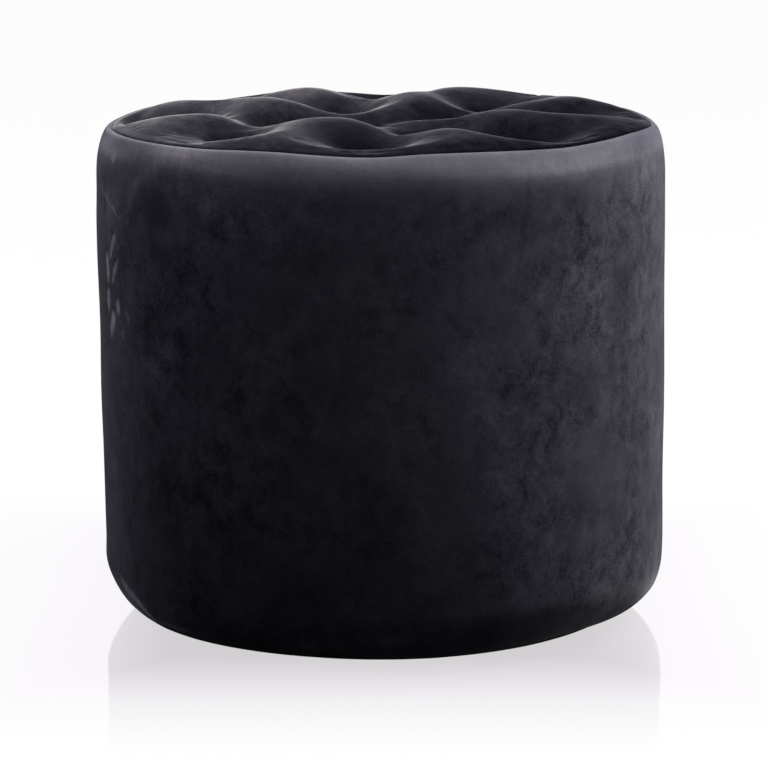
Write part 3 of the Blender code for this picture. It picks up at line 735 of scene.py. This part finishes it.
# Broad patches, partly brushed pile and partly painted light and shade, as (degrees from the front, height,
# half length and half width in millimetres, tilt in degrees, how much lighter)
brushedAndPaintedPatches = (
    (-52.5, 377, 14, 6, 27, 1.7), (-56.5, 367, 11, 6, 35, 1.8), (-58.6, 358, 8, 5, 80, 1.5),
    (-44.6, 240.5, 18, 8, -16, 1.6), (-50.2, 225.5, 15, 6, -31, 1.5), (-46.3, 333, 9, 9, 0, 1.35),
    (-37, 17, 26, 6, 2, 1.6), (-16, 22, 28, 5, 3, 1.9), (1, 27, 14, 5, 0, 1.6), (-67.3, 105, 12, 10, 90, 1.5),
    (-69.2, 134, 11, 8, 90, 1.4), (-34, 190, 18, 9, -15, 1.4), (-46, 205, 26, 14, -20, 1.6),
    (-50, 26, 28, 11, -10, 1.6), (-70, 338, 22, 20, 90, 1.4), (-37, 364, 24, 12, 0, 1.4),
    (48, 263, 26, 22, 90, 1.35), (-10, 352, 18, 12, 0, 1.25), (-58, 139, 18, 18, 0, 1.25),
    (-11, 300, 22, 14, 0, 1.2), (-48.5, 352, 14, 12, 80, 0.5), (-47.7, 136, 10, 8, 90, 0.55),
    (-37.7, 134, 11, 8, -30, 0.6), (-45, 97, 9, 9, 0, 0.6), (71, 112, 42, 28, 0, 0.55),
    (29, 350, 40, 18, -10, 0.72), (24, 260, 20, 20, 0, 0.78), (71, 217, 42, 22, 0, 0.8),
    (66, 372, 36, 14, 0, 1.8), (-74, 391, 26, 14, 0, 1.7), (-45, 397, 34, 5, 0, 1.8),
    (-4, 388.5, 85, 5, 0, 0.66), (-42, 368, 75, 16, 0, 1.27), (-66, 350, 26, 30, 0, 1.3),
    (40, 364, 14, 7, 0, 0.7), (10, 374, 22, 8, 0, 0.8), (50, 367, 12, 10, 0, 1.3), (-19, 212, 46, 20, 20, 0.8),
    (-29, 97, 20, 15, 0, 0.82), (11, 58, 24, 10, 0, 0.8), (60, 308, 34, 8, 14, 0.8), (61, 394, 40, 7, 0, 0.78),
    (-32, 399, 120, 4, 0, 1.35), (-55, 387.5, 16, 3.5, 0, 0.76), (-20, 388, 16, 4, 0, 0.78),
    (20, 393, 14, 6, 0, 0.84), (-42, 342, 90, 28, 0, 1.12), (10, 325, 34, 24, 0, 0.88),
)


# The patches' product: each is a soft oval that fades as the exponential of its squared distance
def brushedAndPaintedPatchShade(degrees, height):
    total = 0
    for heading, level, halfLength, halfWidth, tilt, factor in brushedAndPaintedPatches:
        across = np.radians(degrees - heading) * form["sideRadius"] * 1000
        up = height * 1000 - level
        turned = np.radians(tilt)
        long = (across * np.cos(turned) + up * np.sin(turned)) / halfLength
        short = (up * np.cos(turned) - across * np.sin(turned)) / halfWidth
        total = total + math.log(factor) * np.exp(-(long ** 2 + short ** 2))
    return np.exp(total)


# Painted light and shade on the side: lightest just under the seam and darker towards the foot, times the
# patches
def brushedAndPaintedBandShade(turn, height):
    degrees = np.degrees(turn)
    wave = 0.004 * softWave(turn * form["sideRadius"], 0.2 * height, 0.10, 12)
    paintedLight = listed("paintedLightBelow", form["seamHeight"] - height + wave) * listed("paintedLightAround", degrees)
    foot = listed("paintedFootShade", height) * listed("paintedFootShadeAround", degrees)
    shade = (listed("paintedShadeAround", degrees) + paintedLight) * (1 - foot)
    return shade * brushedAndPaintedPatchShade(degrees, height)


# The band: its outline carried round, moved by the waves, lean, swell and foot, with a groove at the back
def buildSideBand():
    outer, inner = bandOutline(), bandLining()
    outline = joined(outer, inner)
    length = bandLength(outer)
    length = joined(length, np.interp(inner[:, 1], outer[::-1, 1], length[::-1]))
    # Columns stand closer together at the back, where the band's ends are sewn
    even = np.linspace(-math.pi, math.pi, band["columns"], endpoint=False)
    close = math.pi + np.linspace(-0.028, 0.028, 27)
    turn = np.sort(joined(even[abs(abs(even) - math.pi) > 0.034], (close + math.pi) % math.tau - math.pi))
    # One row for each point of the outline, one column for each turn
    radius, height, along = (values[:, None] for values in (*outline.T, length))
    around = turn * form["sideRadius"]
    # Unevenness of the foam under the cloth, none at the seam or the hem
    free = smoothStep((0.392 - height) / 0.05) * smoothStep((height - 0.012) / 0.03)
    radius = radius + free * band["unevenness"] * softWave(around, height, 0.11, 5)
    lift = footLift(turn, radius, height)
    radius = radius + sideShift(turn, radius, height)
    gap = form["sideRadius"] * abs(abs(turn) - math.pi)
    groove = np.exp(-((gap / band["closingSeamWidth"]) ** 2)) * band["closingSeamDepth"]
    radius = radius - groove * smoothStep((height - 0.006) / 0.02) * smoothStep((0.400 - height) / 0.01)
    height = height + seamLift(turn) * smoothStep((height - 0.350) / 0.050) + lift
    points, cloth = spun(turn, radius, height), stacked(around, along)
    faces = gridFaces(*points.shape[:2], closeColumns=True, closeRows=True)
    uneven = listed("unevenAround", abs(np.degrees(turn)))
    uneven = uneven * listed("unevenBelow", form["seamHeight"] - height)
    napAndPaintedShade = {"napToneAndPaintedShade": brushedAndPaintedBandShade(turn, height), "napUneven": uneven}
    side = makePiece("sideBand", points, faces, velvet, napAndPaintedShade, cloth)
    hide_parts("side_cover")
    return side


sideBand = buildSideBand()
print("side band", len(sideBand.data.polygons), "faces")


# Foam pads under the covers

pads = {"room": 0.0008, "rings": 59, "grooveFoot": 0.3952, "fill": 0.9}


# The seat pad: follows the panel's underside, with its side inside the shoulder and a flat base on the board
def buildSeatPad():
    clear = form["cloth"] + pads["room"]
    sideRadius, inner = form["sideRadius"] - clear, form["seamRadius"] + clear
    sizes = (sideRadius - inner, shoulderDrop - clear - 0.001)
    shoulder = arcOf((inner, form["shoulderHeight"]), sizes, 80, 0, 9)
    groove = [0.2148, form["seamRadius"] + 0.0014]
    foot = form["seatBoardTop"] + form["play"]
    seatRings = pads["rings"]
    radii = joined(np.linspace(0, 0.2145, seatRings), groove, shoulder[:, 0], np.full(3, sideRadius))
    side = np.linspace(form["shoulderHeight"], foot, 4)[1:]
    edge = joined([pads["grooveFoot"]] * 2, shoulder[:, 1], side)
    x, y, ring = discGrid(radii)
    edge = edge[np.clip(ring - seatRings, 0, len(edge) - 1)]
    lift = seamLift(headingOf(x, y)) * smoothStep((edge - 0.350) / 0.050)
    height = np.where(ring >= seatRings, edge + lift, seatHeight(x, y, False) - clear)
    lowX, lowY, _ = discGrid(np.linspace(0, sideRadius, (len(radii) - 1) // 4 + 1))
    points, faces = closeDisc(stacked(x, y, height), stacked(lowX, lowY, foot))
    pad = makePiece("seatPad", points, faces, foam, weld=1e-6)
    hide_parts("seat_foam")
    return pad


# The foam wrap: a ring between the drum wall and the cover, thinned out round the lower edge, with its two
# ends meeting in a butt joint at the back
def buildSidePad():
    clear = form["cloth"] + pads["room"]
    inner, outer = form["drumRadius"] + form["play"], form["sideRadius"] - clear
    top, size = form["seatBoardTop"], form["lowerRounding"] - clear
    # The lower edge's arc ends where it meets the drum
    turnDown = -np.linspace(0, math.acos((inner - roundCentre) / size), 12)
    curve = stacked(roundCentre + size * np.cos(turnDown), roundTop + size * np.sin(turnDown))
    side = stacked(outer, np.linspace(top - 0.003, roundTop, 15)[:14])
    back = stacked(inner, np.linspace(curve[-1, 1], top, 16)[1:15])
    outline = joined([[inner, top], [outer - 0.003, top]], side, curve, back)
    slit = 0.0005 / outer
    turn = np.linspace(-math.pi + slit, math.pi - slit, 140)
    radius, height = (values[:, None] for values in outline.T)
    bulge = softWave(turn * outer, height, 0.09, 8) * 0.0006
    outside = (radius > inner + 0.01) & (height < top - 0.004) & (height > 0.02)
    # It follows the band outside it, and stays straight where it lies on the drum
    loose = smoothStep((radius - inner) / 0.004)
    lift = loose * footLift(turn, radius + clear, height)
    radius = radius - np.where(outside, abs(bulge), 0) + loose * sideShift(turn, radius + clear, height)
    points = spun(turn, radius, height + lift)
    rows, columns = points.shape[:2]
    ends = np.arange(rows) * columns
    faces = gridFaces(rows, columns, closeRows=True) + [ends.tolist(), (ends + columns - 1)[::-1].tolist()]
    pad = makePiece("sidePad", points, faces, foam)
    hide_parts("side_foam")
    return pad


seatPad = buildSeatPad()
sidePad = buildSidePad()
print("foam pads", len(seatPad.data.polygons), len(sidePad.data.polygons), "faces")

# Buttons covered in the same velvet
button = {"radius": 0.0085, "edge": 0.0016, "dome": 0.0032, "segments": 40, "fold": 0.018, "folds": 11,
          "shade": 0.6}


# A button: flat under, a rolled edge and a low dome, spun about its own axis with shallow folds at the edge
def buildButton(number, place):
    turnUp = np.radians(np.linspace(-80, 90, 15))
    height = button["edge"] + np.where(turnUp > 0, button["dome"], button["edge"]) * np.sin(turnUp)
    out = joined([0], button["radius"] * np.cos(turnUp))[:, None]
    up = joined(height[:1], height)[:, None]
    turn = np.linspace(0, math.tau, button["segments"], endpoint=False)
    edgeShare = smoothStep(out / button["radius"] * 1.6 - 0.6) * (up > 0.0005)
    out = out * (1 - button["fold"] * edgeShare * (1 + np.sin(button["folds"] * turn + number)))
    x, y = place[0] + out * np.cos(turn), place[1] + out * np.sin(turn)
    points = stacked(x, y, place[2] + up)
    cloth = stacked(x + 0.02 * number, y)  # each button cut from another place of the cloth
    napAndPaintedShade = {"napToneAndPaintedShade": np.full(x.shape, button["shade"]), "napUneven": np.ones(x.shape)}
    faces = gridFaces(*x.shape, closeColumns=True)
    made = makePiece(f"velvetButton{number + 1:02d}", points, faces, seatVelvetWithPaintedSheen, napAndPaintedShade, cloth, weld=1e-6)
    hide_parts(tuftNames[number])


for number, place in enumerate(tuftCentres):
    buildButton(number, place)
print("buttons", len(tuftCentres))

# Underside: dust cover and its staples
underside = {"radius": 0.172, "bottom": 0.0035, "thickness": 0.0006, "ripple": 0.00035, "staples": 40,
             "stapleRing": 0.1665, "stapleWidth": 0.010, "wire": 0.0005}


# The dust cover: a thin disc, tight at its stapled edge, with slight ripples between the staples
def buildDustCover():
    x, y, _ = discGrid(np.linspace(0, underside["radius"], 61))
    radius = np.hypot(x, y)
    ripple = np.sin(underside["staples"] * np.arctan2(y, x)) * np.exp(-abs(radius - 0.150) / 0.02) * 0.5
    soft = softWave(x, y, 0.08, 3) * smoothStep((0.16 - radius) / 0.05)
    drop = underside["ripple"] * (ripple + soft) * smoothStep((0.166 - radius) / 0.01)
    low = stacked(x, y, underside["bottom"] - np.maximum(drop, -0.0002))
    top = low + [0, 0, underside["thickness"]]
    rim = discRim(60)
    side = stacked(rim, np.roll(rim, -1), np.roll(rim, -1) + x.size, rim + x.size)
    faces = gridFaces(*x.shape) + gridFaces(*x.shape, start=x.size) + side.tolist()
    points = joined(low.reshape(-1, 3), top.reshape(-1, 3))
    cover = makePiece("dustCover", points, faces, dustCloth)
    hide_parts("dust_cover")


# Staples: a six-sided wire carried along a leg, the crown and the other leg, set round the dust cover's edge
def buildStaples():
    half, wire = underside["stapleWidth"] / 2, underside["wire"]
    low = underside["bottom"] - wire / 2 - 0.0001
    crown = half - 0.0004
    across, up = (-half, -half, -crown, crown, half, half), (0.0009, 0.0002, 0, 0, 0.0002, 0.0009)
    path = stacked(across, up)
    turn = np.linspace(0, math.tau, 6, endpoint=False)
    # Across the wire: y is sideways, and the other axis is the path's own normal
    tangent = np.gradient(path, axis=0)
    tangent /= np.hypot(*tangent.T)[:, None]
    normal = stacked(-tangent[:, 1], tangent[:, 0])
    ringX, ringZ = (path[:, [axis]] + wire / 2 * np.cos(turn) * normal[:, [axis]] for axis in (0, 1))
    ringY = wire / 2 * np.sin(turn)
    dice = np.random.default_rng(4)
    points, faces = [], []
    one = gridFaces(6, 6, closeColumns=True) + [[5, 4, 3, 2, 1, 0], [30, 31, 32, 33, 34, 35]]
    for number in range(underside["staples"]):
        heading = math.tau * (number + 0.25 * dice.uniform(-1, 1)) / underside["staples"]
        lean = heading + math.pi / 2 + 0.12 * dice.uniform(-1, 1)
        x = underside["stapleRing"] * math.cos(heading) + ringX * math.cos(lean) - ringY * math.sin(lean)
        y = underside["stapleRing"] * math.sin(heading) + ringX * math.sin(lean) + ringY * math.cos(lean)
        points.append(stacked(x, y, low + ringZ).reshape(-1, 3))
        faces += [[corner + 36 * number for corner in face] for face in one]
    makePiece("dustCoverStaples", joined(*points), faces, zinc)


buildDustCover()
buildStaples()
print("underside closed")

# Camera: the photograph's view, level across, looking slightly down at the pouf
camera = {"place": (0, -2.8203, 0.7517), "down": 0.1983,
          "settings": {"lens": 164.0, "sensor_width": 36, "shift_x": 0.00326, "clip_end": 100}}
eyeData = bpy.data.cameras.new("camera")
setAll(eyeData, camera["settings"])
eye = addObject("camera", eyeData)
eye.location = camera["place"]
eye.rotation_euler = (math.pi / 2 - camera["down"], 0, 0)
scene.camera = eye

# Floor: white, with a soft mirror image of the pouf that fades with distance
floorLook = {
    "size": 30.0, "drop": 0.0003,
    "colour": (0.022, 0.022, 0.022), "colourForLight": (0.12, 0.12, 0.12),
    "topUp": 0.972,
    "mirrorRoughness": 0.06, "mirrorTint": (1.0, 0.972, 1.0),
    "mirrorStops": ((0.165, 0.34), (0.2325, 0.22), (0.286, 0.118), (0.34, 0.066), (0.3876, 0.027), (0.45, 0)),
}


# A glow plus a little diffuse white, mixed with a mirror by a ramp of the larger of x and y
def buildFloor():
    mesh = bpy.data.meshes.new("floor")
    half = floorLook["size"] / 2
    corners = ((-half, -half), (half, -half), (half, half), (-half, half))
    mesh.from_pydata([(x, y, -floorLook["drop"]) for x, y in corners], [], [(0, 1, 2, 3)])
    floor = addObject("floor", mesh)
    material, tree, _ = startMaterial("paleFloor")
    tree.nodes.clear()
    axes = addNode(tree, "SeparateXYZ", {0: objectPlace(tree)}).outputs
    far = mathOn(tree, "MAXIMUM", mathOn(tree, "ABSOLUTE", axes[0]), mathOn(tree, "ABSOLUTE", axes[1]))
    ramp = addNode(tree, "ValToRGB", {"Fac": times(tree, far, 2.0)})
    stops = floorLook["mirrorStops"]
    while len(ramp.color_ramp.elements) < len(stops):
        ramp.color_ramp.elements.new(0.5)
    for element, (distance, share) in zip(ramp.color_ramp.elements, stops):
        element.position = distance * 2
        element.color = (share, share, share, 1)
    share, seen = ramp.outputs[0], seenOn(tree)
    colour = mixColours(tree, seen, floorLook["colourForLight"], floorLook["colour"])
    base = addNode(tree, "BsdfDiffuse", {"Color": colour}).outputs[0]
    near = mathOn(tree, "MULTIPLY", share, 6.0, clamp=True)
    tinted = mixColours(tree, near, (1.0, 1.0, 1.0), floorLook["mirrorTint"])
    strength = times(tree, seen, floorLook["topUp"])
    glow = addNode(tree, "Emission", {"Color": tinted, "Strength": strength}).outputs[0]
    white = addNode(tree, "AddShader", {0: base, 1: glow}).outputs[0]
    mirror = addNode(tree, "BsdfGlossy", {"Roughness": floorLook["mirrorRoughness"]}).outputs[0]
    share = times(tree, share, addNode(tree, "LightPath").outputs["Is Camera Ray"])
    mixed = addNode(tree, "MixShader", {0: share, 1: white, 2: mirror}).outputs[0]
    feed(tree, addNode(tree, "OutputMaterial").inputs[0], mixed)
    mesh.materials.append(material)


buildFloor()

# Light: a large soft box high on the right, and weak ones low on the right, in front, on the left and behind
lamps = {
    "highRight": {"place": (1.67, 0, 2.24), "size": (1.4, 1.4), "power": 142},
    "lowRight": {"place": (2.45, 0, 1), "size": (1, 1), "power": 10},
    "overFront": {"place": (-0.1, -1, 1.4), "size": (0.5, 0.5), "power": 4.7, "colour": (0.9, 0.88, 1)},
    "left": {"place": (-2.25, 0, 1.55), "size": (1, 1.4), "power": 11, "colour": (0.89, 0.87, 1)},
    "leftBehind": {"place": (-1.95, 1.13, 1.55), "size": (1, 1.4), "power": 23, "colour": (0.89, 0.87, 1)},
    "overBack": {"place": (0, 1.3, 2.5), "size": (1.4, 0.8), "power": 20},
}
room = {"colour": (1.0, 1.0, 1.0), "strength": 0.02}


# Each lamp faces a point inside the pouf. The room is bright to the camera and in mirrors, and dim as light.
def buildLamps():
    for name, look in lamps.items():
        data = bpy.data.lights.new(name, "AREA")
        data.shape = "RECTANGLE"
        data.size, data.size_y = look["size"]
        data.energy = look["power"]
        data.color = look.get("colour", (1, 1, 1))
        lamp = addObject(name, data)
        lamp.location = look["place"]
        aim = np.subtract((0, 0, 0.22), look["place"])
        level = math.hypot(*aim[:2])
        lamp.rotation_euler = (math.atan2(level, -aim[2]), 0, math.atan2(aim[1], aim[0]) - math.pi / 2)
    scene.world = bpy.data.worlds.new("room")
    scene.world.use_nodes = True
    tree = scene.world.node_tree
    strength = scaled(tree, seenOn(tree), 1 - room["strength"], room["strength"])
    for number, value in enumerate((room["colour"], strength)):
        feed(tree, tree.nodes["Background"].inputs[number], value)


buildLamps()
scene.view_settings.view_transform = "Standard"
print("stage set")
